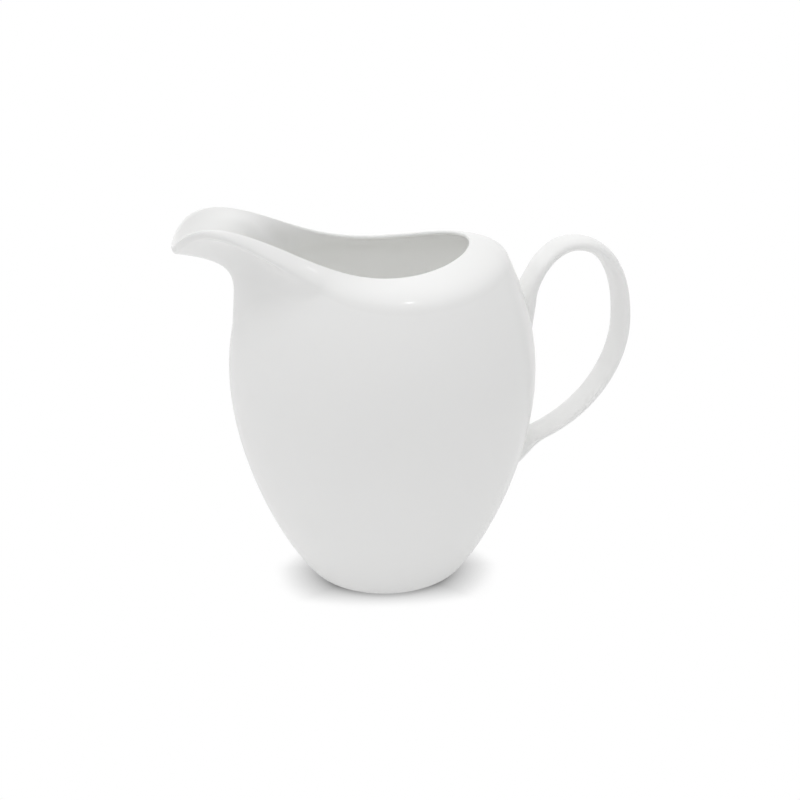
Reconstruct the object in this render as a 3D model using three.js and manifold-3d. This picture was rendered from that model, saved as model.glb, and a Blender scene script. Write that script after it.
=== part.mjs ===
import * as THREE from 'three';
import Module from 'manifold-3d';
import { mergeVertices } from 'three/addons/utils/BufferGeometryUtils.js';

// Porcelain water jug: an egg-shaped shell with an inward shoulder, a wavy mouth that runs out into a
// broad pouring lip, and a strap handle luted on with slip. Millimetres, +Z up, the floor at z = 0.
// The spout points to -X and the handle to +X. Angles around the jug run from 0 at the handle to 180
// degrees at the spout, and both halves are alike.

// Foot and lower body
const footRadius = 23.2;
const footRingWidth = 4.5;
const footRecess = 1.0;
const footRingSlope = 1.0;
const heelRadius = 14;
const heelSweep = 50;
const heelTension = 20;
const bellyRadius = 64;
const bellyHeight = 91.2;
const bellyTension = 33.8;
const wallThickness = 4;

// Mouth edge: a round opening that swells towards the spout and ends in a narrower lip.
// Each spread is a power: the larger it is, the closer the feature keeps to the spout.
const mouthRadius = 37.3;
const mouthHeight = 146.3;
const mouthSideDip = 6.3;
const swellReach = 23.8;
const swellSpread = 3.77;
const lipReach = 21.1;
const lipSpread = 23;
const lipRise = 17.8;
const lipRiseSpread = 7.12;
const lipDroop = 15;
const lipDroopSpread = 94.6;

// Upper wall: an egg that closes in above the belly, joined with a throat that flares out into the lip.
// The crease between the two is sharpest at the spout and fades out along the sides.
const bodyRoundness = 99.1;
const throatBandWidth = 6.9;
const lipBandWidth = 1.73;
const lipBandSpread = 9.24;
const flareReach = 30.4;
const flareSpread = 9.42;
const flareDepth = 4.8;
const throatLean = 0.53;
const leanDepth = 18;
const creaseSoftness = 0.5;
const creaseFade = 8;

// Shoulder band between the wall and the mouth edge: broad at the handle, narrow at the lip
const shoulderDrop = 5.8;
const shoulderSideDrop = 2.96;
const lipBandDrop = 2.76;
const shoulderSpread = 1.77;
const shoulderSoftness = 2.87;
const softestShare = 0.45;
const shoulderFullness = 0.95;
const shoulderBow = 13.4;
const lipBow = 87.8;
const bowSpread = 30;

// Mouth edge in section: a small nose that turns back under the shoulder, and a soft roll along the lip
const edgeRadius = 0.9;
const lipEdgeRadius = 1.6;
const edgeTurn = 172;
const lipEdgeTurn = 4;
const edgeTurnSpread = 5.5;
const insideDrop = 8;
const underShoulderEase = 0.42;

// Strap handle
const strapWidth = 17;
const strapUpperThickness = 6.2;
const strapTopThickness = 5.7;
const strapBackThickness = 6.3;
const strapLowerThickness = 4;
const strapSquareness = 2.2;
const fingerRoom = 37;
const upperRootDrop = 28.8;
const upperRootStandOff = 2.2;
const rootFlare = 2.6;
const rootFlareShare = 0.35;
const rootFlareEase = 1.5;
const handleTopDrop = 5.6;
const handleTopReach = 18.2;
const handleBackRise = 15.4;
const lowerRootDrop = 36.1;
const lowerRootStandOff = 2.2;
const lowerRootAngle = 196;
const upperRootTension = 10;
const topTensionIn = 10.5;
const topTensionOut = 14.7;
const backTensionIn = 20.1;
const backTensionOut = 19.8;
const lowerRootTension = 29.7;

// Slip joints
const jointGap = 0.3;
const upperTailLength = 19;
const upperTailLead = 3;
const upperTailRunOut = 10;
const upperTailWidth = 13.6;
const upperTailBulge = 0.2;
const upperTailEndSink = 0.6;
const upperTailBackSink = 3.4;
const lowerJointLength = 9;
const lowerTailLength = 15;
const lowerTailWidth = 18.8;
const lowerTailBulge = 8.5;
const lowerTailBulgeRise = 6.5;
const lowerTailEndSink = 2;
const lowerSlipLead = 7.2;
const lowerSlipRunIn = 14.4;

// Facets
const columns = 72;
const columnCrowding = 0.5;
const heelSteps = 4;
const lowerWallSteps = 10;
const upperWallSteps = 18;
const upperWallCrowding = 1.6;
const shoulderSteps = 10;
const edgeSteps = 4;
const underShoulderSteps = 6;
const insideUpperSteps = 10;
const insideLowerSteps = 8;
const strapFacets = 20;
const strapUpperSteps = 14;
const strapBackSteps = 14;
const strapLowerSteps = 20;
const slipSteps = 10;
const headingStep = 0.2;

const degrees = Math.PI / 180;
const wasm = await Module();
wasm.setup();

function point(r, z) {
  return new THREE.Vector2(r, z);
}

function heading(angle) {
  return point(Math.cos(angle), Math.sin(angle));
}

function along(start, direction, distance) {
  return start.clone().addScaledVector(direction, distance);
}

function leftOf(direction) {
  return point(-direction.y, direction.x);
}

// Points along a cubic curve, without its first point
function curve(a, b, c, d, steps) {
  return new THREE.CubicBezierCurve(a, b, c, d).getPoints(steps).slice(1);
}

function mix(atHandle, atSpout, share) {
  return atHandle + (atSpout - atHandle) * share;
}

// The heel arc from the foot up, for a given distance inside the outer surface
function heelArc(inset, steps) {
  const points = [];
  const radius = heelRadius - inset;
  for (let i = 0; i <= steps; i += 1) {
    const angle = heelSweep * degrees * i / steps;
    points.push(point(footRadius + radius * Math.sin(angle), heelRadius - radius * Math.cos(angle)));
  }
  return points;
}

// The wall from the end of the heel arc up to the belly line
function lowerWall(inset, steps) {
  const radius = heelRadius - inset;
  const angle = heelSweep * degrees;
  const start = point(footRadius + radius * Math.sin(angle), heelRadius - radius * Math.cos(angle));
  const belly = point(bellyRadius - inset, bellyHeight);
  return curve(
    start,
    along(start, heading(angle), heelTension),
    point(belly.x, belly.y - bellyTension),
    belly,
    steps,
  );
}

// The larger of two numbers, with a soft change from one to the other
function smoothMax(a, b, softness) {
  const blend = Math.max(softness - Math.abs(a - b), 0) / softness;
  return Math.max(a, b) + blend ** 3 * softness / 6;
}

function turned(direction, angle) {
  return direction.clone().rotateAround(point(0, 0), angle * degrees);
}

// What shapes the upper wall at one angle: mouth edge, height of the fold and the throat under the lip
function upperFormAt(phi) {
  const toSpout = (1 - Math.cos(phi)) / 2;
  const aside = Math.sin(phi) ** 2;
  const edge = point(
    mouthRadius + swellReach * toSpout ** swellSpread + lipReach * toSpout ** lipSpread,
    mouthHeight - mouthSideDip * aside + lipRise * toSpout ** lipRiseSpread
      - lipDroop * toSpout ** lipDroopSpread,
  );
  const drop = mix(shoulderDrop, lipBandDrop, toSpout ** shoulderSpread) + shoulderSideDrop * aside;
  return {
    toSpout,
    edge,
    foldHeight: edge.y - drop,
    lipOutline: edge.x + mix(throatBandWidth, lipBandWidth, toSpout ** lipBandSpread),
    flare: flareReach * toSpout ** flareSpread,
    crease: creaseSoftness + creaseFade * toSpout * (1 - toSpout),
  };
}

// A point of the upper wall: whichever of the egg and the throat lies further out
function wallAt(form, height) {
  const egg = bellyRadius - Math.max(height - bellyHeight, 0) ** 2 / (2 * bodyRoundness);
  const depth = form.foldHeight - height;
  const throat = form.lipOutline - form.flare * (1 - Math.exp(-depth / flareDepth))
    + throatLean * leanDepth * (1 - Math.exp(-depth / leanDepth));
  return point(smoothMax(egg, throat, form.crease), height);
}

function wallHeadingAt(form, height) {
  return wallAt(form, height).sub(wallAt(form, height - headingStep)).normalize();
}

// The shoulder's curve from the top of the wall over the fold to the mouth edge
function shoulderAt(form) {
  const { edge, foldHeight, toSpout } = form;
  const fold = wallAt(form, foldHeight);
  const bandLength = edge.distanceTo(fold);
  const softness = Math.min(shoulderSoftness, softestShare * bandLength);
  const wallEnd = wallAt(form, foldHeight - softness * wallHeadingAt(form, foldHeight).y);
  const bow = mix(shoulderBow, lipBow, toSpout ** bowSpread);
  const edgeHeading = turned(edge.clone().sub(fold).normalize(), bow);
  const lead = along(wallEnd, wallHeadingAt(form, wallEnd.y), softness);
  const arrival = along(edge, edgeHeading, -bandLength * shoulderFullness);
  return { wallEnd, lead, arrival, edgeHeading };
}

// The outside from the foot ring to the mouth edge
function outsideAt(phi) {
  const form = upperFormAt(phi);
  const { wallEnd, lead, arrival } = shoulderAt(form);
  const upperWall = [];
  for (let i = 1; i <= upperWallSteps; i += 1) {
    const share = 1 - (1 - i / upperWallSteps) ** upperWallCrowding;
    upperWall.push(wallAt(form, mix(bellyHeight, wallEnd.y, share)));
  }
  const shoulder = curve(wallEnd, lead, arrival, form.edge, shoulderSteps);
  const below = [...heelArc(0, heelSteps), ...lowerWall(0, lowerWallSteps)];
  return [...below, ...upperWall, ...shoulder];
}

// The rounded mouth edge and the inside, from the mouth down to the floor of the jug
function insideAt(phi) {
  const form = upperFormAt(phi);
  const { edge, toSpout } = form;
  const { edgeHeading } = shoulderAt(form);
  const noseShare = toSpout ** edgeTurnSpread;
  const noseRadius = mix(edgeRadius, lipEdgeRadius, noseShare);
  const noseTurn = mix(edgeTurn, lipEdgeTurn, noseShare);
  const nose = [];
  for (let i = 1; i <= edgeSteps; i += 1) {
    const angle = noseTurn * i / edgeSteps;
    const centre = along(edge, leftOf(edgeHeading), noseRadius);
    nose.push(along(centre, turned(leftOf(edgeHeading), angle), -noseRadius));
  }
  const noseEnd = nose[nose.length - 1];

  const evenWall = [];
  const evenTop = form.foldHeight - insideDrop;
  for (let i = 0; i <= insideUpperSteps; i += 1) {
    const height = mix(evenTop, bellyHeight, i / insideUpperSteps);
    evenWall.push(along(wallAt(form, height), leftOf(wallHeadingAt(form, height)), wallThickness));
  }
  const reach = noseEnd.distanceTo(evenWall[0]) * underShoulderEase;
  const underShoulder = curve(
    noseEnd,
    along(noseEnd, turned(edgeHeading, noseTurn), reach),
    along(evenWall[0], wallHeadingAt(form, evenTop), reach),
    evenWall[0],
    underShoulderSteps,
  );
  const below = [...heelArc(wallThickness, heelSteps), ...lowerWall(wallThickness, insideLowerSteps)];
  return [...nose, ...underShoulder, ...evenWall.slice(1), ...below.reverse().slice(1)];
}

// A closed body from rows of points at each angle: the first and last row meet the axis
function shellGeometry(profileAt, bottomHeight, topHeight) {
  const positions = [0, 0, bottomHeight];
  const indices = [];
  let rows = 0;
  for (let i = 0; i < columns; i += 1) {
    const turn = 2 * Math.PI * i / columns;
    const phi = turn + columnCrowding * Math.sin(turn);
    const profile = profileAt(phi);
    rows = profile.length;
    for (const p of profile) {
      positions.push(p.x * Math.cos(phi), p.x * Math.sin(phi), p.y);
    }
  }
  positions.push(0, 0, topHeight);
  const top = positions.length / 3 - 1;
  for (let i = 0; i < columns; i += 1) {
    const here = 1 + i * rows;
    const next = 1 + ((i + 1) % columns) * rows;
    indices.push(0, next, here);
    for (let j = 0; j < rows - 1; j += 1) {
      indices.push(here + j, next + j, next + j + 1);
      indices.push(here + j, next + j + 1, here + j + 1);
    }
    indices.push(here + rows - 1, next + rows - 1, top);
  }
  const geometry = new THREE.BufferGeometry();
  geometry.setAttribute('position', new THREE.Float32BufferAttribute(positions, 3));
  geometry.setIndex(indices);
  return geometry;
}

// A flat rounded bar between an outer and an inner edge line in the XZ plane, across the Y axis
function strapGeometry(outerEdge, innerEdge, widths) {
  const positions = [];
  const indices = [];
  const power = 2 / strapSquareness;
  for (let i = 0; i < outerEdge.length; i += 1) {
    const middle = outerEdge[i].clone().add(innerEdge[i]).multiplyScalar(0.5);
    const half = outerEdge[i].clone().sub(middle);
    for (let k = 0; k < strapFacets; k += 1) {
      const angle = 2 * Math.PI * k / strapFacets;
      const across = Math.sign(Math.sin(angle)) * Math.abs(Math.sin(angle)) ** power;
      const through = Math.sign(Math.cos(angle)) * Math.abs(Math.cos(angle)) ** power;
      positions.push(
        middle.x + half.x * through,
        across * widths[i] / 2,
        middle.y + half.y * through,
      );
    }
  }
  const last = (outerEdge.length - 1) * strapFacets;
  for (let k = 0; k < strapFacets; k += 1) {
    const k2 = (k + 1) % strapFacets;
    for (let i = 0; i < outerEdge.length - 1; i += 1) {
      const here = i * strapFacets;
      const next = here + strapFacets;
      indices.push(here + k, next + k2, here + k2);
      indices.push(here + k, next + k, next + k2);
    }
    if (k > 0 && k2 > 0) {
      indices.push(0, k, k2);
      indices.push(last, last + k2, last + k);
    }
  }
  const geometry = new THREE.BufferGeometry();
  geometry.setAttribute('position', new THREE.Float32BufferAttribute(positions, 3));
  geometry.setIndex(indices);
  return geometry;
}

function toSolid(geometry) {
  const clean = geometry.clone();
  clean.deleteAttribute('normal');
  clean.deleteAttribute('uv');
  const merged = mergeVertices(clean, 1e-5);
  return new wasm.Manifold(new wasm.Mesh({
    numProp: 3,
    vertProperties: new Float32Array(merged.attributes.position.array),
    triVerts: new Uint32Array(merged.index.array),
  }));
}

function toGeometry(solid) {
  const mesh = solid.getMesh();
  const geometry = new THREE.BufferGeometry();
  geometry.setAttribute('position', new THREE.BufferAttribute(new Float32Array(mesh.vertProperties), 3));
  geometry.setIndex(new THREE.BufferAttribute(new Uint32Array(mesh.triVerts), 1));
  return geometry;
}

// Radius of the wall on the handle side at a given height
function wallRadiusAt(height) {
  const profile = outsideAt(0);
  for (let i = 1; i < profile.length; i += 1) {
    const a = profile[i - 1];
    const b = profile[i];
    if (a.y <= height && b.y >= height) {
      return a.x + (b.x - a.x) * (height - a.y) / Math.max(b.y - a.y, 1e-6);
    }
  }
  return bellyRadius;
}

// Shell with its recessed foot ring
const ringInside = footRadius - footRingWidth;
const bodyGeometry = shellGeometry((phi) => [
  point(ringInside - footRingSlope, footRecess),
  point(ringInside, 0),
  ...outsideAt(phi),
  ...insideAt(phi),
], footRecess, wallThickness);

// The filled outside, a little larger, that the handle and its slip are fitted against
const fitAgainst = toSolid(shellGeometry(
  (phi) => outsideAt(phi).map((p) => point(p.x + jointGap, p.y)),
  0,
  mouthHeight,
));

// Middle line of the strap, from the upper root over the top and back to the lower root
const upperRootHeight = mouthHeight - upperRootDrop;
const upperRoot = point(wallRadiusAt(upperRootHeight) + upperRootStandOff, upperRootHeight);
const handleTop = point(bellyRadius + handleTopReach, mouthHeight - handleTopDrop);
const handleBack = point(
  bellyRadius + fingerRoom + strapBackThickness / 2,
  bellyHeight + handleBackRise,
);
const lowerRootHeight = bellyHeight - lowerRootDrop;
const lowerRoot = point(wallRadiusAt(lowerRootHeight) + lowerRootStandOff, lowerRootHeight);
const lowerHeading = heading(lowerRootAngle * degrees);
const middleLine = [
  upperRoot,
  ...curve(
    upperRoot,
    point(upperRoot.x, upperRoot.y + upperRootTension),
    point(handleTop.x - topTensionIn, handleTop.y),
    handleTop,
    strapUpperSteps,
  ),
  ...curve(
    handleTop,
    point(handleTop.x + topTensionOut, handleTop.y),
    point(handleBack.x, handleBack.y + backTensionIn),
    handleBack,
    strapBackSteps,
  ),
  ...curve(
    handleBack,
    point(handleBack.x, handleBack.y - backTensionOut),
    along(lowerRoot, lowerHeading, -lowerRootTension),
    lowerRoot,
    strapLowerSteps,
  ),
];

// Thickness of the strap at one point of its middle line
function strapThicknessAt(index) {
  const pastTop = index - strapUpperSteps;
  const pastBack = pastTop - strapBackSteps;
  if (pastTop < 0) {
    return mix(strapUpperThickness, strapTopThickness, index / strapUpperSteps);
  }
  if (pastBack < 0) {
    return mix(strapTopThickness, strapBackThickness, pastTop / strapBackSteps);
  }
  return mix(strapBackThickness, strapLowerThickness, pastBack / strapLowerSteps);
}

// Edge lines of the strap on both sides of its middle line, stopping short of the lower root
const strapOuter = [];
const strapInner = [];
for (let i = 0; i < middleLine.length; i += 1) {
  const before = middleLine[Math.max(i - 1, 0)];
  const after = middleLine[Math.min(i + 1, middleLine.length - 1)];
  const side = leftOf(after.clone().sub(before).normalize());
  const half = strapThicknessAt(i) / 2;
  if (i === 0 || middleLine[i].distanceTo(lowerRoot) > lowerJointLength) {
    const flareShare = Math.max(1 - i / (strapUpperSteps * rootFlareShare), 0);
    strapOuter.push(along(middleLine[i], side, half + rootFlare * flareShare ** rootFlareEase));
    strapInner.push(along(middleLine[i], side, -half));
  }
}
const strapWidths = strapOuter.map(() => strapWidth);
const handleGeometry = toGeometry(
  toSolid(strapGeometry(strapOuter, strapInner, strapWidths)).subtract(fitAgainst),
);

// Slip under the upper root: a tail that sinks into the wall
const upperTailEnd = upperRootHeight - upperTailLength;
const tailWall = wallRadiusAt(upperTailEnd);
const upperSlipBack = [point(strapOuter[0].x, upperRootHeight - jointGap)];
upperSlipBack.push(...curve(
  upperSlipBack[0],
  point(strapOuter[0].x, upperRootHeight - upperTailLead),
  point(tailWall - upperTailBackSink, upperTailEnd + upperTailRunOut),
  point(tailWall - upperTailBackSink, upperTailEnd),
  slipSteps,
));
const upperSlipFace = [point(strapInner[0].x, upperRootHeight - jointGap)];
upperSlipFace.push(...curve(
  upperSlipFace[0],
  point(strapInner[0].x, upperRootHeight - upperTailLead),
  point(tailWall + upperTailBulge, upperTailEnd + upperTailRunOut),
  point(tailWall - upperTailEndSink, upperTailEnd),
  slipSteps,
));
const upperSlipWidths = upperSlipBack.map((p, i) => mix(strapWidth, upperTailWidth, i / slipSteps));
const upperSlipGeometry = toGeometry(
  toSolid(strapGeometry(upperSlipFace, upperSlipBack, upperSlipWidths)).subtract(fitAgainst),
);

// Slip at the lower root: straight on top, swept down the wall underneath
const strapEnd = strapOuter.length - 1;
const endMiddle = strapOuter[strapEnd].clone().add(strapInner[strapEnd]).multiplyScalar(0.5);
const previous = strapOuter[strapEnd - 1].clone().add(strapInner[strapEnd - 1]).multiplyScalar(0.5);
const endHeading = endMiddle.clone().sub(previous).normalize();
const lowerSlipStartOuter = along(strapOuter[strapEnd], endHeading, jointGap);
const lowerSlipStartInner = along(strapInner[strapEnd], endHeading, jointGap);
const tailHeight = lowerRootHeight - lowerTailLength;
const lowerTailWall = wallRadiusAt(tailHeight);
const lowerSlipInner = [lowerSlipStartInner];
lowerSlipInner.push(...curve(
  lowerSlipStartInner,
  along(lowerSlipStartInner, endHeading, lowerSlipRunIn / 3),
  along(lowerSlipStartInner, endHeading, lowerSlipRunIn * 2 / 3),
  along(lowerSlipStartInner, endHeading, lowerSlipRunIn),
  slipSteps,
));
const lowerSlipOuter = [lowerSlipStartOuter];
lowerSlipOuter.push(...curve(
  lowerSlipStartOuter,
  along(lowerSlipStartOuter, endHeading, lowerSlipLead),
  point(lowerTailWall + lowerTailBulge, tailHeight + lowerTailBulgeRise),
  point(lowerTailWall - lowerTailEndSink, tailHeight),
  slipSteps,
));
const lowerSlipWidths = lowerSlipOuter.map(
  (p, i) => mix(strapWidth, lowerTailWidth, (i / slipSteps) ** 2),
);
const lowerSlipGeometry = toGeometry(
  toSolid(strapGeometry(lowerSlipOuter, lowerSlipInner, lowerSlipWidths)).subtract(fitAgainst),
);

const glazedWhite = { color: 0xf1f1ef, roughness: 0.12, metalness: 0 };

function addPiece(parent, name, geometry, finish) {
  geometry.computeVertexNormals();
  const mesh = new THREE.Mesh(geometry, new THREE.MeshStandardMaterial(finish));
  mesh.name = name;
  parent.add(mesh);
}

const group = new THREE.Group();
group.name = 'porcelain_jug';
addPiece(group, 'jug_body', bodyGeometry, glazedWhite);
addPiece(group, 'handle', handleGeometry, glazedWhite);
addPiece(group, 'upper_joint_slip', upperSlipGeometry, { ...glazedWhite, roughness: 0.16 });
addPiece(group, 'lower_joint_slip', lowerSlipGeometry, { ...glazedWhite, roughness: 0.16 });

// The origin sits on the floor, midway between the tip of the lip and the back of the handle
const extent = new THREE.Box3().setFromObject(group);
const midway = (extent.min.x + extent.max.x) / 2;
for (const mesh of group.children) {
  mesh.geometry.translate(-midway, 0, 0);
}

export default group;
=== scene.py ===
import math
from collections import namedtuple

import bpy
from mathutils import Matrix, Vector


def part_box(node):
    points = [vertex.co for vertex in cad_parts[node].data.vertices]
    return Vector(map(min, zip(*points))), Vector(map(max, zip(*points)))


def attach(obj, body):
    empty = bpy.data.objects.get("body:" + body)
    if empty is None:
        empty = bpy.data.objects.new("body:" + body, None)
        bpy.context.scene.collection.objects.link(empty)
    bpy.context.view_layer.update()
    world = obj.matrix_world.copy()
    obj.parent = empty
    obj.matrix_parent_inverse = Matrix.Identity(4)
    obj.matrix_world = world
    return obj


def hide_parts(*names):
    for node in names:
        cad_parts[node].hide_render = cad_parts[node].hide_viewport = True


# White porcelain jug on a pale floor. Metres, +Z up, the pouring lip towards -X and the handle towards +X.
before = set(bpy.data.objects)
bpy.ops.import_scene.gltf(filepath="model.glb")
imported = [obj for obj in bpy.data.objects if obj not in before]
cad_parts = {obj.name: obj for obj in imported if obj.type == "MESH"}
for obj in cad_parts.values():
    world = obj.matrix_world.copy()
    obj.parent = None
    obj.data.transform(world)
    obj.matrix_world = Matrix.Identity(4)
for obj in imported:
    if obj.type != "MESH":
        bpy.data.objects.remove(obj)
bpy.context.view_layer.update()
print("frame loaded:", ", ".join(sorted(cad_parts)))


# Formulas as nodes

class Formula:
    # a number on a node socket, so that a shape's rule can be written as plain arithmetic
    def __init__(self, tree, socket):
        self.tree = tree
        self.socket = socket

    def __add__(self, other):
        return maths(self.tree, "ADD", self, other)

    def __radd__(self, other):
        return maths(self.tree, "ADD", other, self)

    def __sub__(self, other):
        return maths(self.tree, "SUBTRACT", self, other)

    def __rsub__(self, other):
        return maths(self.tree, "SUBTRACT", other, self)

    def __mul__(self, other):
        return maths(self.tree, "MULTIPLY", self, other)

    def __rmul__(self, other):
        return maths(self.tree, "MULTIPLY", other, self)

    def __truediv__(self, other):
        return maths(self.tree, "DIVIDE", self, other)

    def __rtruediv__(self, other):
        return maths(self.tree, "DIVIDE", other, self)

    def __pow__(self, other):
        return maths(self.tree, "POWER", self, other)

    def __neg__(self):
        return maths(self.tree, "MULTIPLY", self, -1.0)

    def does(self, operation, *others):
        return maths(self.tree, operation, self, *others)


Spot = namedtuple("Spot", "r z")  # a point or a direction in the plane through the jug's axis


def plug(tree, value, socket):
    if isinstance(value, Formula):
        tree.links.new(value.socket, socket)
    else:
        socket.default_value = value


def maths(tree, operation, *values):
    node = tree.nodes.new("ShaderNodeMath")
    node.operation = operation
    for index, value in enumerate(values):
        plug(tree, value, node.inputs[index])
    return Formula(tree, node.outputs[0])


def heading(degrees):
    angle = degrees.does("RADIANS")
    return Spot(angle.does("COSINE"), angle.does("SINE"))


def leftOf(direction):
    return Spot(-direction.z, direction.r)


def along(start, direction, distance):
    return Spot(start.r + direction.r * distance, start.z + direction.z * distance)


def span(a, b):
    return ((a.r - b.r) ** 2.0 + (a.z - b.z) ** 2.0).does("SQRT")


def mix(atHandle, atSpout, share):
    return atHandle + (atSpout - atHandle) * share


def bezier(t, a, b, c, d):
    s = 1.0 - t
    weights = (s * s * s, 3.0 * s * s * t, 3.0 * s * t * t, t * t * t)
    points = (a, b, c, d)
    r = sum((w * p.r for w, p in zip(weights[1:], points[1:])), weights[0] * a.r)
    z = sum((w * p.z for w, p in zip(weights[1:], points[1:])), weights[0] * a.z)
    return Spot(r, z)


def bezierSlope(t, a, b, c, d):
    s = 1.0 - t
    weights = (3.0 * s * s, 6.0 * s * t, 3.0 * t * t)
    legs = [Spot(q.r - p.r, q.z - p.z) for p, q in ((a, b), (b, c), (c, d))]
    r = sum((w * leg.r for w, leg in zip(weights[1:], legs[1:])), weights[0] * legs[0].r)
    z = sum((w * leg.z for w, leg in zip(weights[1:], legs[1:])), weights[0] * legs[0].z)
    length = (r * r + z * z).does("SQRT")
    return Spot(r / length, z / length)


def arcPull(radius, degrees):
    # how far the handles of a round curve reach
    return radius * ((degrees / 4.0).does("RADIANS").does("TANGENT") * (4.0 / 3.0))


# Node trees that make meshes

crispAngle = 60.0  # edges that bend more than this stay crisp


def newTree(name, sizes):
    # a geometry tree with one named input for each size
    tree = bpy.data.node_groups.new(name, "GeometryNodeTree")
    tree.interface.new_socket(name="Geometry", in_out="OUTPUT", socket_type="NodeSocketGeometry")
    for word in sizes:
        tree.interface.new_socket(name=word, in_out="INPUT", socket_type="NodeSocketFloat")
    inputs = tree.nodes.new("NodeGroupInput")
    return tree, {word: Formula(tree, inputs.outputs[word]) for word in sizes}


def gridPlace(tree):
    # u and v of a grid point, both from 0 to 1
    position = tree.nodes.new("GeometryNodeInputPosition")
    split = tree.nodes.new("ShaderNodeSeparateXYZ")
    tree.links.new(position.outputs[0], split.inputs[0])
    return Formula(tree, split.outputs[0]) + 0.5, Formula(tree, split.outputs[1]) + 0.5


def joinXyz(tree, x, y, z):
    node = tree.nodes.new("ShaderNodeCombineXYZ")
    for index, value in enumerate((x, y, z)):
        plug(tree, value, node.inputs[index])
    return node.outputs[0]


def addBand(tree, columns, rows, place):
    # a grid bent into one band of a surface
    grid = tree.nodes.new("GeometryNodeMeshGrid")
    grid.inputs["Size X"].default_value = 1.0
    grid.inputs["Size Y"].default_value = 1.0
    grid.inputs["Vertices X"].default_value = columns + 1
    grid.inputs["Vertices Y"].default_value = rows + 1
    bend = tree.nodes.new("GeometryNodeSetPosition")
    tree.links.new(grid.outputs["Mesh"], bend.inputs["Geometry"])
    tree.links.new(place, bend.inputs["Position"])
    return bend.outputs["Geometry"]


def closeTree(tree, geometries, material, weld, flip=False):
    # joins the bands, welds their seams and hands the mesh out with its finish; flip turns its faces outwards
    join = tree.nodes.new("GeometryNodeJoinGeometry")
    for geometry in geometries:
        tree.links.new(geometry, join.inputs[0])
    merge = tree.nodes.new("GeometryNodeMergeByDistance")
    merge.inputs["Distance"].default_value = weld
    tree.links.new(join.outputs[0], merge.inputs["Geometry"])
    last = merge.outputs[0]
    if flip:
        outward = tree.nodes.new("GeometryNodeFlipFaces")
        tree.links.new(last, outward.inputs["Mesh"])
        last = outward.outputs[0]
    realize = tree.nodes.new("GeometryNodeRealizeInstances")
    smooth = tree.nodes.new("GeometryNodeSetShadeSmooth")
    crisp = tree.nodes.new("GeometryNodeSetShadeSmooth")
    crisp.domain = "EDGE"
    crisp.inputs["Shade Smooth"].default_value = False
    fold = Formula(tree, tree.nodes.new("GeometryNodeInputMeshEdgeAngle").outputs["Unsigned Angle"])
    tree.links.new(fold.does("GREATER_THAN", math.radians(crispAngle)).socket, crisp.inputs["Selection"])
    finish = tree.nodes.new("GeometryNodeSetMaterial")
    finish.inputs["Material"].default_value = material
    for node in (smooth, crisp, realize, finish):
        tree.links.new(last, node.inputs[0])
        last = node.outputs[0]
    tree.links.new(last, tree.nodes.new("NodeGroupOutput").inputs[0])


def makeMesh(name, tree, sizes):
    # runs the tree once and keeps its result as a plain mesh
    obj = bpy.data.objects.new(name, bpy.data.meshes.new(name))
    bpy.context.scene.collection.objects.link(obj)
    modifier = obj.modifiers.new(name, "NODES")
    modifier.node_group = tree
    for item in tree.interface.items_tree:
        if item.in_out == "INPUT":
            modifier[item.identifier] = sizes[item.name]
    graph = bpy.context.evaluated_depsgraph_get()
    mesh = bpy.data.meshes.new_from_object(obj.evaluated_get(graph))
    mesh.name = name
    obj.modifiers.remove(modifier)
    obj.data = mesh
    print(f"{name}: {len(mesh.vertices)} points, {len(mesh.polygons)} faces")
    return obj


def ridePiece(obj, node):
    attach(obj, "root")
    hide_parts(node)


# Finishes

def nodeOf(tree, kind, **settings):
    node = tree.nodes.new(kind)
    for word, value in settings.items():
        setattr(node, word, value)
    return node


glaze = {
    "white": (0.955, 0.955, 0.948, 1.0),
    "shade": (0.94, 0.941, 0.935, 1.0),  # where the glaze lies thicker
    "cloudSize": 0.045,
    "cloudDetail": 3.0,
    "roughLow": 0.07,
    "roughHigh": 0.12,
    "coat": 0.45,  # the clear glaze, thin and a little matt
    "coatIndex": 1.5,
    "bodyRough": 0.6,  # the porcelain under it
    "rippleSize": 0.004,
    "rippleDetail": 1.0,
    "rippleDepth": 0.00001,
    "bareWhite": (0.74, 0.725, 0.70, 1.0),  # biscuit on the foot ring
    "bareHeight": 0.00025,
    "bareRough": 0.75,
}


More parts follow.
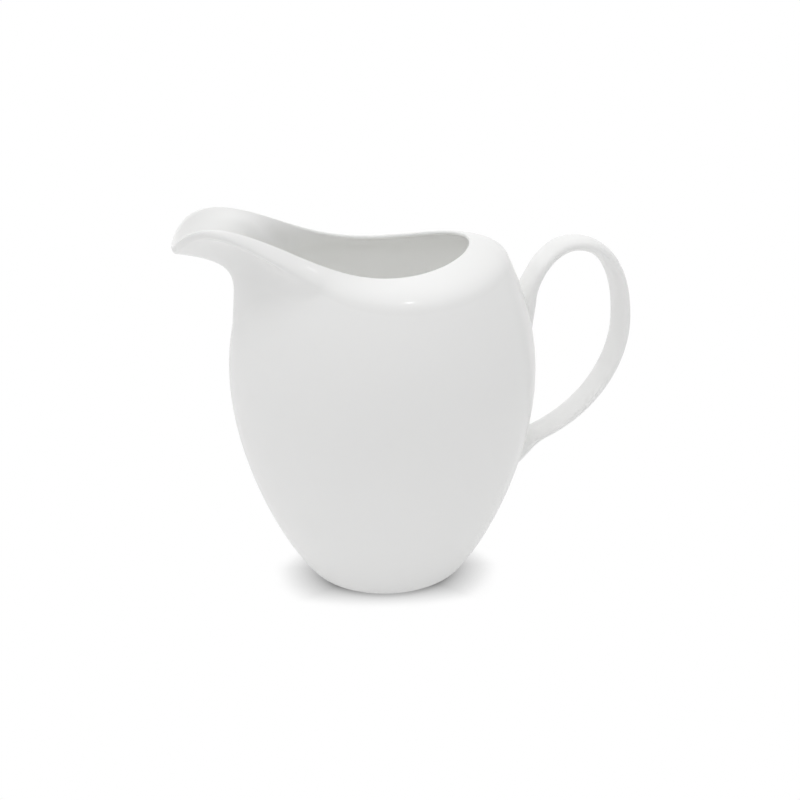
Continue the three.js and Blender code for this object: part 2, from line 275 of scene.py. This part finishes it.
def porcelainGlaze(name, bareFoot):
    material = bpy.data.materials.new(name)
    material.use_nodes = True
    tree = material.node_tree
    links = tree.links
    shader = tree.nodes["Principled BSDF"]
    place = nodeOf(tree, "ShaderNodeTexCoord")
    cloud = nodeOf(tree, "ShaderNodeTexNoise")
    cloud.inputs["Scale"].default_value = 1.0 / glaze["cloudSize"]
    cloud.inputs["Detail"].default_value = glaze["cloudDetail"]
    links.new(place.outputs["Object"], cloud.inputs["Vector"])
    tone = nodeOf(tree, "ShaderNodeMix", data_type="RGBA")
    tone.inputs["A"].default_value = glaze["white"]
    tone.inputs["B"].default_value = glaze["shade"]
    links.new(cloud.outputs["Fac"], tone.inputs["Factor"])
    gloss = nodeOf(tree, "ShaderNodeMapRange")
    gloss.inputs["To Min"].default_value = glaze["roughLow"]
    gloss.inputs["To Max"].default_value = glaze["roughHigh"]
    links.new(cloud.outputs["Fac"], gloss.inputs["Value"])
    colour, roughness = tone.outputs["Result"], gloss.outputs["Result"]
    if bareFoot:
        height = nodeOf(tree, "ShaderNodeSeparateXYZ")
        links.new(place.outputs["Object"], height.inputs[0])
        bare = nodeOf(tree, "ShaderNodeMath", operation="LESS_THAN")
        bare.inputs[1].default_value = glaze["bareHeight"]
        links.new(height.outputs["Z"], bare.inputs[0])
        foot = nodeOf(tree, "ShaderNodeMix", data_type="RGBA")
        foot.inputs["B"].default_value = glaze["bareWhite"]
        links.new(bare.outputs[0], foot.inputs["Factor"])
        links.new(colour, foot.inputs["A"])
        dull = nodeOf(tree, "ShaderNodeMix", data_type="FLOAT")
        dull.inputs["B"].default_value = glaze["bareRough"]
        links.new(bare.outputs[0], dull.inputs["Factor"])
        links.new(roughness, dull.inputs["A"])
        colour, roughness = foot.outputs["Result"], dull.outputs["Result"]
    links.new(colour, shader.inputs["Base Color"])
    links.new(roughness, shader.inputs["Coat Roughness"])
    ripple = nodeOf(tree, "ShaderNodeTexNoise")
    ripple.inputs["Scale"].default_value = 1.0 / glaze["rippleSize"]
    ripple.inputs["Detail"].default_value = glaze["rippleDetail"]
    links.new(place.outputs["Object"], ripple.inputs["Vector"])
    bump = nodeOf(tree, "ShaderNodeBump")
    bump.inputs["Strength"].default_value = 1.0
    bump.inputs["Distance"].default_value = glaze["rippleDepth"]
    links.new(ripple.outputs["Fac"], bump.inputs["Height"])
    links.new(bump.outputs["Normal"], shader.inputs["Coat Normal"])
    shader.inputs["Roughness"].default_value = glaze["bodyRough"]
    shader.inputs["Specular IOR Level"].default_value = 0.0  # only the coat shines
    shader.inputs["Coat Weight"].default_value = glaze["coat"]
    shader.inputs["Coat IOR"].default_value = glaze["coatIndex"]
    return material


bodyGlaze = porcelainGlaze("bodyGlaze", True)
handleGlaze = porcelainGlaze("handleGlaze", False)
slipGlaze = porcelainGlaze("slipGlaze", False)

# Jug body: one cast shell, from the middle of its foot up over the mouth edge and down to its floor

bodySizes = {
    "footRadius": 0.0232,
    "footRingWidth": 0.0045,
    "footRecess": 0.001,
    "footRingSlope": 0.001,
    "heelRadius": 0.014,
    "heelSweep": 50.0,
    "heelTension": 0.020,
    "bellyRadius": 0.064,
    "bellyHeight": 0.0912,
    "bellyTension": 0.0338,
    "bodyRoundness": 0.0991,  # radius of the egg's curve at the belly
    "wallThickness": 0.004,
    "mouthRadius": 0.0373,
    "mouthHeight": 0.1463,
    "mouthSideDip": 0.0063,
    "swellReach": 0.0238,
    "swellSpread": 3.77,
    "lipReach": 0.0211,
    "lipSpread": 23.0,
    "lipRise": 0.0178,
    "lipRiseSpread": 7.12,
    "lipDroop": 0.015,
    "lipDroopSpread": 94.6,
    "shoulderDrop": 0.0058,
    "shoulderSideDrop": 0.00296,
    "lipBandDrop": 0.00276,
    "shoulderSpread": 1.77,
    "throatBandWidth": 0.0069,
    "lipBandWidth": 0.00173,
    "lipBandSpread": 9.24,
    "flareReach": 0.0304,
    "flareSpread": 9.42,
    "flareDepth": 0.0048,
    "throatLean": 0.53,
    "leanDepth": 0.018,
    "creaseSoftness": 0.0002,
    "creaseFade": 0.003,
    "shoulderSoftness": 0.00287,
    "softestShare": 0.45,
    "shoulderFullness": 0.95,
    "shoulderBow": 13.4,
    "lipBow": 87.8,
    "bowSpread": 30.0,
    "edgeRadius": 0.0009,
    "lipEdgeRadius": 0.0016,
    "edgeTurn": 172.0,
    "lipEdgeTurn": 4.0,
    "edgeTurnSpread": 5.5,
    "insideDrop": 0.008,  # how far under the fold the even wall begins
    "underShoulderEase": 0.42,
    "headingStep": 0.0002,
}
bodySizes["axisX"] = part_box("jug_body")[1].x - bodySizes["bellyRadius"]
bodyMesh = {
    "columns": 320,
    "crowding": 0.5,  # columns crowd together towards the lip
    "upperWallCrowding": 1.6,
    "weld": 0.000005,
    "rows": {
        "recess": 4, "footRing": 3, "footSole": 2, "heel": 14, "lowerWall": 40, "upperWall": 64,
        "shoulder": 40, "edge": 10, "underShoulder": 26, "insideUpper": 30, "insideLower": 26,
        "insideHeel": 8, "floor": 4,
    },
}


def jugShellTree(material):
    tree, size = newTree("Jug shell", bodySizes)
    u, v = gridPlace(tree)
    turn = u * (2.0 * math.pi)
    phi = turn + turn.does("SINE") * bodyMesh["crowding"]  # 0 at the handle, half a turn at the lip
    cosPhi = phi.does("COSINE")
    sinPhi = phi.does("SINE")
    toSpout = ((1.0 - cosPhi) / 2.0).does("MAXIMUM", 0.0)
    aside = sinPhi * sinPhi

    # mouth edge and the height of the fold under it
    edge = Spot(
        size["mouthRadius"] + size["swellReach"] * toSpout ** size["swellSpread"]
        + size["lipReach"] * toSpout ** size["lipSpread"],
        size["mouthHeight"] - size["mouthSideDip"] * aside
        + size["lipRise"] * toSpout ** size["lipRiseSpread"]
        - size["lipDroop"] * toSpout ** size["lipDroopSpread"],
    )
    foldHeight = edge.z - mix(size["shoulderDrop"], size["lipBandDrop"], toSpout ** size["shoulderSpread"]) \
        - size["shoulderSideDrop"] * aside
    lipOutline = edge.r + mix(size["throatBandWidth"], size["lipBandWidth"], toSpout ** size["lipBandSpread"])
    flare = size["flareReach"] * toSpout ** size["flareSpread"]
    crease = size["creaseSoftness"] + size["creaseFade"] * toSpout * (1.0 - toSpout)

    def wallAt(height):
        # the upper wall is an egg joined with a throat that flares out into the lip
        rise = (height - size["bellyHeight"]).does("MAXIMUM", 0.0)
        egg = size["bellyRadius"] - rise * rise / (2.0 * size["bodyRoundness"])
        depth = foldHeight - height
        fall = 1.0 - (-depth / size["flareDepth"]).does("EXPONENT")
        lean = size["throatLean"] * size["leanDepth"] * (1.0 - (-depth / size["leanDepth"]).does("EXPONENT"))
        throat = lipOutline - flare * fall + lean
        return Spot(egg.does("SMOOTH_MAX", throat, crease), height)

    def headingAt(height):
        below = wallAt(height - size["headingStep"])
        here = wallAt(height)
        length = span(below, here)
        return Spot((here.r - below.r) / length, (here.z - below.z) / length)

    fold = wallAt(foldHeight)
    bandLength = span(edge, fold)
    softness = (bandLength * size["softestShare"]).does("MINIMUM", size["shoulderSoftness"])
    wallEnd = wallAt(foldHeight - softness * headingAt(foldHeight).z)
    wallHeading = headingAt(wallEnd.z)
    bow = heading(mix(size["shoulderBow"], size["lipBow"], toSpout ** size["bowSpread"]))
    chord = Spot((edge.r - fold.r) / bandLength, (edge.z - fold.z) / bandLength)
    edgeHeading = Spot(chord.r * bow.r - chord.z * bow.z, chord.r * bow.z + chord.z * bow.r)

    # foot and heel
    nothing = size["footRadius"] * 0.0
    ringInside = size["footRadius"] - size["footRingWidth"]
    footPole = Spot(nothing, size["footRecess"])
    recessEdge = Spot(ringInside - size["footRingSlope"], size["footRecess"])
    ringEdge = Spot(ringInside, nothing)
    ringOutside = Spot(size["footRadius"], nothing)
    sweep = heading(size["heelSweep"])

    def heelEnd(inset):
        radius = size["heelRadius"] - inset
        return Spot(size["footRadius"] + radius * sweep.z, size["heelRadius"] - radius * sweep.r)

    def heel(inset):
        radius = size["heelRadius"] - inset
        pull = arcPull(radius, size["heelSweep"])
        start = Spot(size["footRadius"], inset)
        end = heelEnd(inset)
        return start, Spot(start.r + pull, start.z), along(end, sweep, -pull), end

    def lowerWall(inset):
        start = heelEnd(inset)
        belly = Spot(size["bellyRadius"] - inset, size["bellyHeight"])
        lead = along(start, sweep, size["heelTension"])
        return start, lead, Spot(belly.r, belly.z - size["bellyTension"]), belly

    def straight(a, b):
        return a, Spot(a.r + (b.r - a.r) / 3.0, a.z + (b.z - a.z) / 3.0), Spot(
            b.r + (a.r - b.r) / 3.0, b.z + (a.z - b.z) / 3.0), b

    # shoulder, and the mouth edge: a small nose that becomes a soft roll along the lip
    shoulder = (
        wallEnd,
        along(wallEnd, wallHeading, softness),
        along(edge, edgeHeading, -(bandLength * size["shoulderFullness"])),
        edge,
    )
    noseShare = toSpout ** size["edgeTurnSpread"]
    noseRadius = mix(size["edgeRadius"], size["lipEdgeRadius"], noseShare)
    noseTurn = mix(size["edgeTurn"], size["lipEdgeTurn"], noseShare)
    bend = heading(noseTurn)
    noseEnd = Spot(
        edge.r + noseRadius * (edgeHeading.r * bend.z - edgeHeading.z * (1.0 - bend.r)),
        edge.z + noseRadius * (edgeHeading.z * bend.z + edgeHeading.r * (1.0 - bend.r)),
    )
    noseHeading = Spot(
        edgeHeading.r * bend.r - edgeHeading.z * bend.z,
        edgeHeading.r * bend.z + edgeHeading.z * bend.r,
    )
    nosePull = arcPull(noseRadius, noseTurn)
    nose = (edge, along(edge, edgeHeading, nosePull), along(noseEnd, noseHeading, -nosePull), noseEnd)

    # inside
    insideTop = foldHeight - size["insideDrop"]

    def insideAt(height):
        return along(wallAt(height), leftOf(headingAt(height)), size["wallThickness"])

    insideStart = insideAt(insideTop)
    reach = span(noseEnd, insideStart) * size["underShoulderEase"]
    underShoulder = (
        noseEnd,
        along(noseEnd, noseHeading, reach),
        along(insideStart, headingAt(insideTop), reach),
        insideStart,
    )
    floorEdge = Spot(size["footRadius"], size["wallThickness"])
    floorPole = Spot(nothing, size["wallThickness"])
    curves = {
        "recess": straight(footPole, recessEdge),
        "footRing": (recessEdge, Spot(recessEdge.r + size["footRingSlope"] * 0.5, recessEdge.z),
                     Spot(ringEdge.r - size["footRingSlope"] * 0.5, ringEdge.z), ringEdge),
        "footSole": straight(ringEdge, ringOutside),
        "heel": heel(nothing),
        "lowerWall": lowerWall(nothing),
        "shoulder": shoulder,
        "edge": nose,
        "underShoulder": underShoulder,
        "insideLower": tuple(reversed(lowerWall(size["wallThickness"]))),
        "insideHeel": tuple(reversed(heel(size["wallThickness"]))),
        "floor": straight(floorEdge, floorPole),
    }
    spots = {word: bezier(v, *points) for word, points in curves.items()}
    risen = 1.0 - (1.0 - v) ** bodyMesh["upperWallCrowding"]  # rows crowd together towards the fold
    spots["upperWall"] = wallAt(mix(size["bellyHeight"], wallEnd.z, risen))
    spots["insideUpper"] = insideAt(mix(insideTop, size["bellyHeight"], v))
    made = []
    for word, rows in bodyMesh["rows"].items():
        spot = spots[word]
        place = joinXyz(tree, size["axisX"] + spot.r * cosPhi, spot.r * sinPhi, spot.z)
        made.append(addBand(tree, bodyMesh["columns"], rows, place))
    closeTree(tree, made, material, bodyMesh["weld"])
    return tree


jugBody = makeMesh("jugBody", jugShellTree(bodyGlaze), bodySizes)
ridePiece(jugBody, "jug_body")


def wallRadius(height):
    # radius of the finished wall on the handle side
    outside = Vector((1.0, 0.0, height))
    spot = jugBody.ray_cast(outside, Vector((-1.0, 0.0, 0.0)))[1]
    return spot.x - bodySizes["axisX"]


# Strap handle: a flat rounded bar along a middle line of three curves, from the upper root to the lower joint

strapSizes = {
    "axisX": bodySizes["axisX"],
    "width": 0.017,
    "upperThickness": 0.0062,
    "topThickness": 0.0057,
    "backThickness": 0.0063,
    "lowerThickness": 0.004,
    "squareness": 2.2,
    "rootFlare": 0.0026,  # the outer face turns into the wall at the upper root
    "rootFlareShare": 0.35,
    "rootFlareEase": 1.5,
    "lowerRootAngle": 196.0,
    "upperRootTension": 0.010,
    "topTensionIn": 0.0105,
    "topTensionOut": 0.0147,
    "backTensionIn": 0.0201,
    "backTensionOut": 0.0198,
    "lowerRootTension": 0.0297,
}
strapPlaces = {  # the middle line's places, as seen from the mouth, the belly and the wall
    "upperRootDrop": 0.0288,
    "upperStandOff": 0.0022,
    "topReach": 0.0182,
    "topDrop": 0.0056,
    "fingerRoom": 0.037,
    "backRise": 0.0154,
    "lowerRootDrop": 0.0361,
    "lowerStandOff": 0.0022,
    "lowerJoint": 0.009,
}
strapSizes["upperRootZ"] = bodySizes["mouthHeight"] - strapPlaces["upperRootDrop"]
strapSizes["upperRootX"] = wallRadius(strapSizes["upperRootZ"]) + strapPlaces["upperStandOff"]
strapSizes["topX"] = bodySizes["bellyRadius"] + strapPlaces["topReach"]
strapSizes["topZ"] = bodySizes["mouthHeight"] - strapPlaces["topDrop"]
strapSizes["backX"] = bodySizes["bellyRadius"] + strapPlaces["fingerRoom"] + strapSizes["backThickness"] / 2.0
strapSizes["backZ"] = bodySizes["bellyHeight"] + strapPlaces["backRise"]
strapSizes["lowerRootZ"] = bodySizes["bellyHeight"] - strapPlaces["lowerRootDrop"]
strapSizes["lowerRootX"] = wallRadius(strapSizes["lowerRootZ"]) + strapPlaces["lowerStandOff"]
strapMesh = {"facets": 72, "upper": 44, "back": 48, "lower": 64, "cap": 3, "halvings": 40, "weld": 0.000002}


def strapRuns(size, lead):
    # the three curves of the middle line; lead is the direction in which the strap reaches the lower root
    upperRoot = Spot(size["upperRootX"], size["upperRootZ"])
    top = Spot(size["topX"], size["topZ"])
    back = Spot(size["backX"], size["backZ"])
    lowerRoot = Spot(size["lowerRootX"], size["lowerRootZ"])
    return {
        "upper": (upperRoot, Spot(upperRoot.r, upperRoot.z + size["upperRootTension"]),
                  Spot(top.r - size["topTensionIn"], top.z), top),
        "back": (top, Spot(top.r + size["topTensionOut"], top.z),
                 Spot(back.r, back.z + size["backTensionIn"]), back),
        "lower": (back, Spot(back.r, back.z - size["backTensionOut"]),
                  along(lowerRoot, lead, -size["lowerRootTension"]), lowerRoot),
    }


def plainHeading(degrees):
    return Spot(math.cos(math.radians(degrees)), math.sin(math.radians(degrees)))


plainRuns = strapRuns(strapSizes, plainHeading(strapSizes["lowerRootAngle"]))


def lowerEndShare():
    # how far along the lower curve the strap goes before the slip joint begins
    low, high = 0.5, 1.0
    root = plainRuns["lower"][3]
    for step in range(strapMesh["halvings"]):
        share = (low + high) / 2.0
        spot = bezier(share, *plainRuns["lower"])
        if math.hypot(spot.r - root.r, spot.z - root.z) > strapPlaces["lowerJoint"]:
            low = share
        else:
            high = share
    return low


strapSizes["lowerEnd"] = lowerEndShare()


def sectionWaves(u, squareness):
    # a flat rounded section: how far across and how far through the bar each of its points lies, from -1 to 1
    angle = u * (2.0 * math.pi)
    sine = angle.does("SINE")
    cosine = angle.does("COSINE")
    power = 2.0 / squareness
    across = sine.does("SIGN") * sine.does("ABSOLUTE") ** power
    through = cosine.does("SIGN") * cosine.does("ABSOLUTE") ** power
    return across, through


def barPlace(tree, axisX, outer, inner, halfWidth, waves, share):
    # a point of the bar's skin; share shrinks the section towards its middle, for the end caps
    across, through = waves
    middle = Spot((outer.r + inner.r) / 2.0, (outer.z + inner.z) / 2.0)
    half = Spot((outer.r - inner.r) / 2.0, (outer.z - inner.z) / 2.0)
    return joinXyz(
        tree,
        axisX + middle.r + half.r * through * share,
        across * halfWidth * share,
        middle.z + half.z * through * share,
    )


def strapTree(material):
    tree, size = newTree("Strap handle", strapSizes)
    u, v = gridPlace(tree)
    waves = sectionWaves(u, size["squareness"])
    runs = strapRuns(size, heading(size["lowerRootAngle"]))
    thickness = {
        "upper": lambda t: mix(size["upperThickness"], size["topThickness"], t),
        "back": lambda t: mix(size["topThickness"], size["backThickness"], t),
        "lower": lambda t: mix(size["backThickness"], size["lowerThickness"], t),
    }

    def addRun(word, t, rows, share):
        middle = bezier(t, *runs[word])
        side = leftOf(bezierSlope(t, *runs[word]))
        half = thickness[word](t) / 2.0
        outerHalf = half
        if word == "upper":
            nearRoot = (1.0 - t / size["rootFlareShare"]).does("MAXIMUM", 0.0)
            outerHalf = half + size["rootFlare"] * nearRoot ** size["rootFlareEase"]
        outer = along(middle, side, outerHalf)
        inner = along(middle, side, -half)
        place = barPlace(tree, size["axisX"], outer, inner, size["width"] / 2.0, waves, share)
        return addBand(tree, strapMesh["facets"], rows, place)

    made = [
        addRun("upper", v * 0.0, strapMesh["cap"], v),
        addRun("upper", v, strapMesh["upper"], 1.0),
        addRun("back", v, strapMesh["back"], 1.0),
        addRun("lower", v * size["lowerEnd"], strapMesh["lower"], 1.0),
        addRun("lower", v * 0.0 + size["lowerEnd"], strapMesh["cap"], 1.0 - v),
    ]
    closeTree(tree, made, material, strapMesh["weld"], flip=True)
    return tree


strapHandle = makeMesh("strapHandle", strapTree(handleGlaze), strapSizes)
ridePiece(strapHandle, "handle")

# Slip joints: wiped tails that carry on from the ends of the strap and sink into the wall

tailMesh = {"facets": 72, "along": 40, "cap": 3, "weld": 0.000002}
tailWords = [f"{edge}{order}{way}" for edge in ("face", "back") for order in range(4) for way in "RZ"]


def tailTree(name, material, sizes):
    tree, size = newTree(name, sizes)
    u, v = gridPlace(tree)
    waves = sectionWaves(u, size["squareness"])
    edges = {
        edge: [Spot(size[f"{edge}{order}R"], size[f"{edge}{order}Z"]) for order in range(4)]
        for edge in ("face", "back")
    }

    def addRun(t, rows, share):
        face = bezier(t, *edges["face"])
        back = bezier(t, *edges["back"])
        width = mix(size["startWidth"], size["endWidth"], t ** size["widthSpread"])
        place = barPlace(tree, size["axisX"], face, back, width / 2.0, waves, share)
        return addBand(tree, tailMesh["facets"], rows, place)

    made = [
        addRun(v * 0.0, tailMesh["cap"], v),
        addRun(v, tailMesh["along"], 1.0),
        addRun(v * 0.0 + 1.0, tailMesh["cap"], 1.0 - v),
    ]
    closeTree(tree, made, material, tailMesh["weld"], flip=True)
    return tree


def tailSizes(face, back, startWidth, endWidth, widthSpread):
    sizes = {
        "axisX": bodySizes["axisX"],
        "squareness": strapSizes["squareness"],
        "startWidth": startWidth,
        "endWidth": endWidth,
        "widthSpread": widthSpread,
    }
    numbers = [number for edge in (face, back) for spot in edge for number in spot]
    sizes.update(zip(tailWords, numbers))
    return sizes


upperTail = {
    "length": 0.019, "lead": 0.003, "runOut": 0.010, "width": 0.0136,
    "bulge": 0.0002, "endSink": 0.0006, "backSink": 0.0034, "widthSpread": 1.0,
}


def upperTailSizes():
    root = plainRuns["upper"][0]
    half = strapSizes["upperThickness"] / 2.0
    end = root.z - upperTail["length"]
    wall = wallRadius(end)
    face = (
        Spot(root.r + half, root.z),
        Spot(root.r + half, root.z - upperTail["lead"]),
        Spot(wall + upperTail["bulge"], end + upperTail["runOut"]),
        Spot(wall - upperTail["endSink"], end),
    )
    back = (
        Spot(root.r - half - strapSizes["rootFlare"], root.z),
        Spot(root.r - half - strapSizes["rootFlare"], root.z - upperTail["lead"]),
        Spot(wall - upperTail["backSink"], end + upperTail["runOut"]),
        Spot(wall - upperTail["backSink"], end),
    )
    return tailSizes(face, back, strapSizes["width"], upperTail["width"], upperTail["widthSpread"])


lowerTail = {
    "length": 0.015, "width": 0.0188, "bulge": 0.0085, "bulgeRise": 0.0065, "endSink": 0.002,
    "lead": 0.0072, "runIn": 0.0144, "slopeStep": 0.001, "widthSpread": 2.0,
}


def lowerTailSizes():
    share = strapSizes["lowerEnd"]
    middle = bezier(share, *plainRuns["lower"])
    before = bezier(share - lowerTail["slopeStep"], *plainRuns["lower"])
    length = math.hypot(middle.r - before.r, middle.z - before.z)
    onward = Spot((middle.r - before.r) / length, (middle.z - before.z) / length)
    half = mix(strapSizes["backThickness"], strapSizes["lowerThickness"], share) / 2.0
    outer = along(middle, leftOf(onward), half)
    inner = along(middle, leftOf(onward), -half)
    end = plainRuns["lower"][3].z - lowerTail["length"]
    wall = wallRadius(end)
    face = (
        outer,
        along(outer, onward, lowerTail["lead"]),
        Spot(wall + lowerTail["bulge"], end + lowerTail["bulgeRise"]),
        Spot(wall - lowerTail["endSink"], end),
    )
    back = tuple(along(inner, onward, lowerTail["runIn"] * order / 3.0) for order in range(4))
    return tailSizes(face, back, strapSizes["width"], lowerTail["width"], lowerTail["widthSpread"])


slipJoints = {
    "upperSlip": ("upper_joint_slip", upperTailSizes()),
    "lowerSlip": ("lower_joint_slip", lowerTailSizes()),
}
for name, (node, sizes) in slipJoints.items():
    ridePiece(makeMesh(name, tailTree(name, slipGlaze, sizes), sizes), node)

# Floor and light

stage = {
    "floorSide": 6.0,
    "shadowReach": 0.032,  # painted shadow: on the bright floor only the shadow close to the foot shows
    "shadowSamples": 32,
    "shadowOpen": (0.19, 0.60),  # shares of open sky where the painted shadow is deepest and where it ends
    "shadowDeep": 0.34,
    "shadowFill": 0.27,  # painted fill, as if light from the front filled the painted shadow there
    "shadowFillFrom": 0.65,
    "shadowBackFill": 0.35,
    "frontTurn": 10.0,  # the picture's front lies this far to the left of -Y
    "leastReach": 0.001,  # keeps directions defined at the jug's axis
    "floorWhite": (0.66, 0.66, 0.66, 1.0),
    "floorGlow": 0.25,
    "ringGlow": 1.43,  # a ring of soft boxes around the table
    "ringHeight": 0.42,
    "ringSpread": 0.14,
    "topGlow": 2.25,  # a soft box overhead, leaning to the left
    "topLean": 5.0,
    "topFocus": 5.0,
    "backGlow": 0.3,  # a pale wall behind on the left
    "backTurn": 10.0,
    "backHeight": 0.64,
    "backSpread": 0.2,
    "skyWhite": (1.0, 1.0, 1.0, 1.0),
}


def seenRays(tree):
    # 1 for what the camera sees, straight on, mirrored or through something clear
    path = nodeOf(tree, "ShaderNodeLightPath")
    kinds = ("Is Camera Ray", "Is Glossy Ray", "Is Transmission Ray")
    camera, glossy, through = (Formula(tree, path.outputs[kind]) for kind in kinds)
    return camera.does("MAXIMUM", glossy).does("MAXIMUM", through)


def paintedFootShadow(tree):
    # painted shadow: how bright the floor looks to the camera, dark close to the foot from the occlusion,
    # with painted fill a little in front and behind
    near = nodeOf(tree, "ShaderNodeAmbientOcclusion", samples=stage["shadowSamples"])
    near.inputs["Distance"].default_value = stage["shadowReach"]
    deep, clear = stage["shadowOpen"]
    light = (Formula(tree, near.outputs["AO"]) - deep) / (clear - deep)
    spot = nodeOf(tree, "ShaderNodeSeparateXYZ")
    tree.links.new(nodeOf(tree, "ShaderNodeNewGeometry").outputs["Position"], spot.inputs[0])
    across = Formula(tree, spot.outputs["X"]) - bodySizes["axisX"]
    ahead = -Formula(tree, spot.outputs["Y"])
    front = math.radians(stage["frontTurn"])
    reach = (across * across + ahead * ahead).does("SQRT").does("MAXIMUM", stage["leastReach"])
    facing = (ahead * math.cos(front) - across * math.sin(front)) / reach
    fillFrom = stage["shadowFillFrom"]
    fill = stage["shadowFill"] * ((facing - fillFrom) / (1.0 - fillFrom)).does("MAXIMUM", 0.0)
    backFill = stage["shadowBackFill"] * (-facing).does("MAXIMUM", 0.0)
    return (mix(stage["shadowDeep"], 1.0, light) + fill + backFill).does("MINIMUM", 1.0)


def paleFloor():
    half = stage["floorSide"] / 2.0
    mesh = bpy.data.meshes.new("floor")
    corners = [(-half, -half, 0), (half, -half, 0), (half, half, 0), (-half, half, 0)]
    mesh.from_pydata(corners, [], [(0, 1, 2, 3)])
    floor = bpy.data.objects.new("floor", mesh)
    bpy.context.scene.collection.objects.link(floor)
    material = bpy.data.materials.new("paleFloor")
    material.use_nodes = True
    tree = material.node_tree
    tree.nodes.remove(tree.nodes["Principled BSDF"])
    white = nodeOf(tree, "ShaderNodeBsdfDiffuse")
    white.inputs["Color"].default_value = stage["floorWhite"]
    table = nodeOf(tree, "ShaderNodeEmission")
    table.inputs["Strength"].default_value = stage["floorGlow"]
    both = nodeOf(tree, "ShaderNodeAddShader")
    tree.links.new(white.outputs[0], both.inputs[0])
    tree.links.new(table.outputs[0], both.inputs[1])
    # the camera sees this painted shadow on the floor, not the lit floor
    paintedShadowFloor = nodeOf(tree, "ShaderNodeEmission")
    plug(tree, paintedFootShadow(tree), paintedShadowFloor.inputs["Strength"])
    choose = nodeOf(tree, "ShaderNodeMixShader")
    plug(tree, seenRays(tree), choose.inputs["Fac"])
    tree.links.new(both.outputs[0], choose.inputs[1])
    tree.links.new(paintedShadowFloor.outputs[0], choose.inputs[2])
    tree.links.new(choose.outputs[0], tree.nodes["Material Output"].inputs["Surface"])
    mesh.materials.append(material)


def studioSky():
    # soft boxes in a ring and overhead, and plain white where the picture shows it
    world = bpy.data.worlds.new("studioSky")
    bpy.context.scene.world = world
    world.use_nodes = True
    tree = world.node_tree
    background = tree.nodes["Background"]
    ray = nodeOf(tree, "ShaderNodeNewGeometry")
    split = nodeOf(tree, "ShaderNodeSeparateXYZ")
    tree.links.new(ray.outputs["Incoming"], split.inputs[0])
    toRight, toBack, height = (-Formula(tree, split.outputs[axis]) for axis in "XYZ")
    lean, turn = math.radians(stage["topLean"]), math.radians(stage["backTurn"])
    overhead = height * math.cos(lean) - toRight * math.sin(lean)
    behind = toBack * math.cos(turn) - toRight * math.sin(turn)

    def hump(middle, spread):
        offset = (height - middle) / spread
        return (-(offset * offset)).does("EXPONENT")

    ring = stage["ringGlow"] * hump(stage["ringHeight"], stage["ringSpread"])
    top = stage["topGlow"] * overhead.does("MAXIMUM", 0.0) ** stage["topFocus"]
    back = stage["backGlow"] * behind.does("MAXIMUM", 0.0) * hump(stage["backHeight"], stage["backSpread"])
    glow = ring + top + back
    seen = seenRays(tree)
    plug(tree, mix(glow, 1.0, seen), background.inputs["Strength"])
    background.inputs["Color"].default_value = stage["skyWhite"]


glint = {  # a narrow lamp whose mirror image lies on the shoulder's fold
    "place": (0.26, -0.229, 1.186),
    "aim": (-0.006, -0.054, 0.134),
    "radius": 0.03,
    "beam": 3.6,
    "blend": 1.0,
    "watts": 3.2,
}


def glintLamp():
    light = bpy.data.lights.new("glint", "SPOT")
    light.energy = glint["watts"]
    light.shadow_soft_size = glint["radius"]
    light.spot_size = math.radians(glint["beam"])
    light.spot_blend = glint["blend"]
    obj = bpy.data.objects.new("glint", light)
    bpy.context.scene.collection.objects.link(obj)
    place = Vector(glint["place"])
    obj.location = place
    obj.rotation_euler = (Vector(glint["aim"]) - place).to_track_quat("-Z", "Y").to_euler()


paleFloor()
studioSky()
glintLamp()
bounces = {"diffuse": 16, "total": 20}  # a white hollow is lit by many bounces
bpy.context.scene.cycles.diffuse_bounces = bounces["diffuse"]
bpy.context.scene.cycles.max_bounces = bounces["total"]
print("floor and light ready")

# Camera

view = {
    "place": (-0.10930, -0.55347, 0.27312),
    "aim": (-0.00382, 0.00327, 0.07584),
    "rollDegrees": -0.983,
    "lens": 63.25,
    "sensor": 36.0,
}


def photoCamera():
    data = bpy.data.cameras.new("photoCamera")
    data.sensor_width = view["sensor"]
    data.lens = view["lens"]
    camera = bpy.data.objects.new("photoCamera", data)
    bpy.context.scene.collection.objects.link(camera)
    place = Vector(view["place"])
    back = (place - Vector(view["aim"])).normalized()
    right = Vector((0.0, 0.0, 1.0)).cross(back).normalized()
    up = back.cross(right)
    level = Matrix((right, up, back)).transposed()
    roll = Matrix.Rotation(math.radians(view["rollDegrees"]), 3, "Z")
    camera.matrix_world = Matrix.Translation(place) @ (level @ roll).to_4x4()
    bpy.context.scene.camera = camera


photoCamera()
bpy.context.scene.view_settings.view_transform = "Standard"
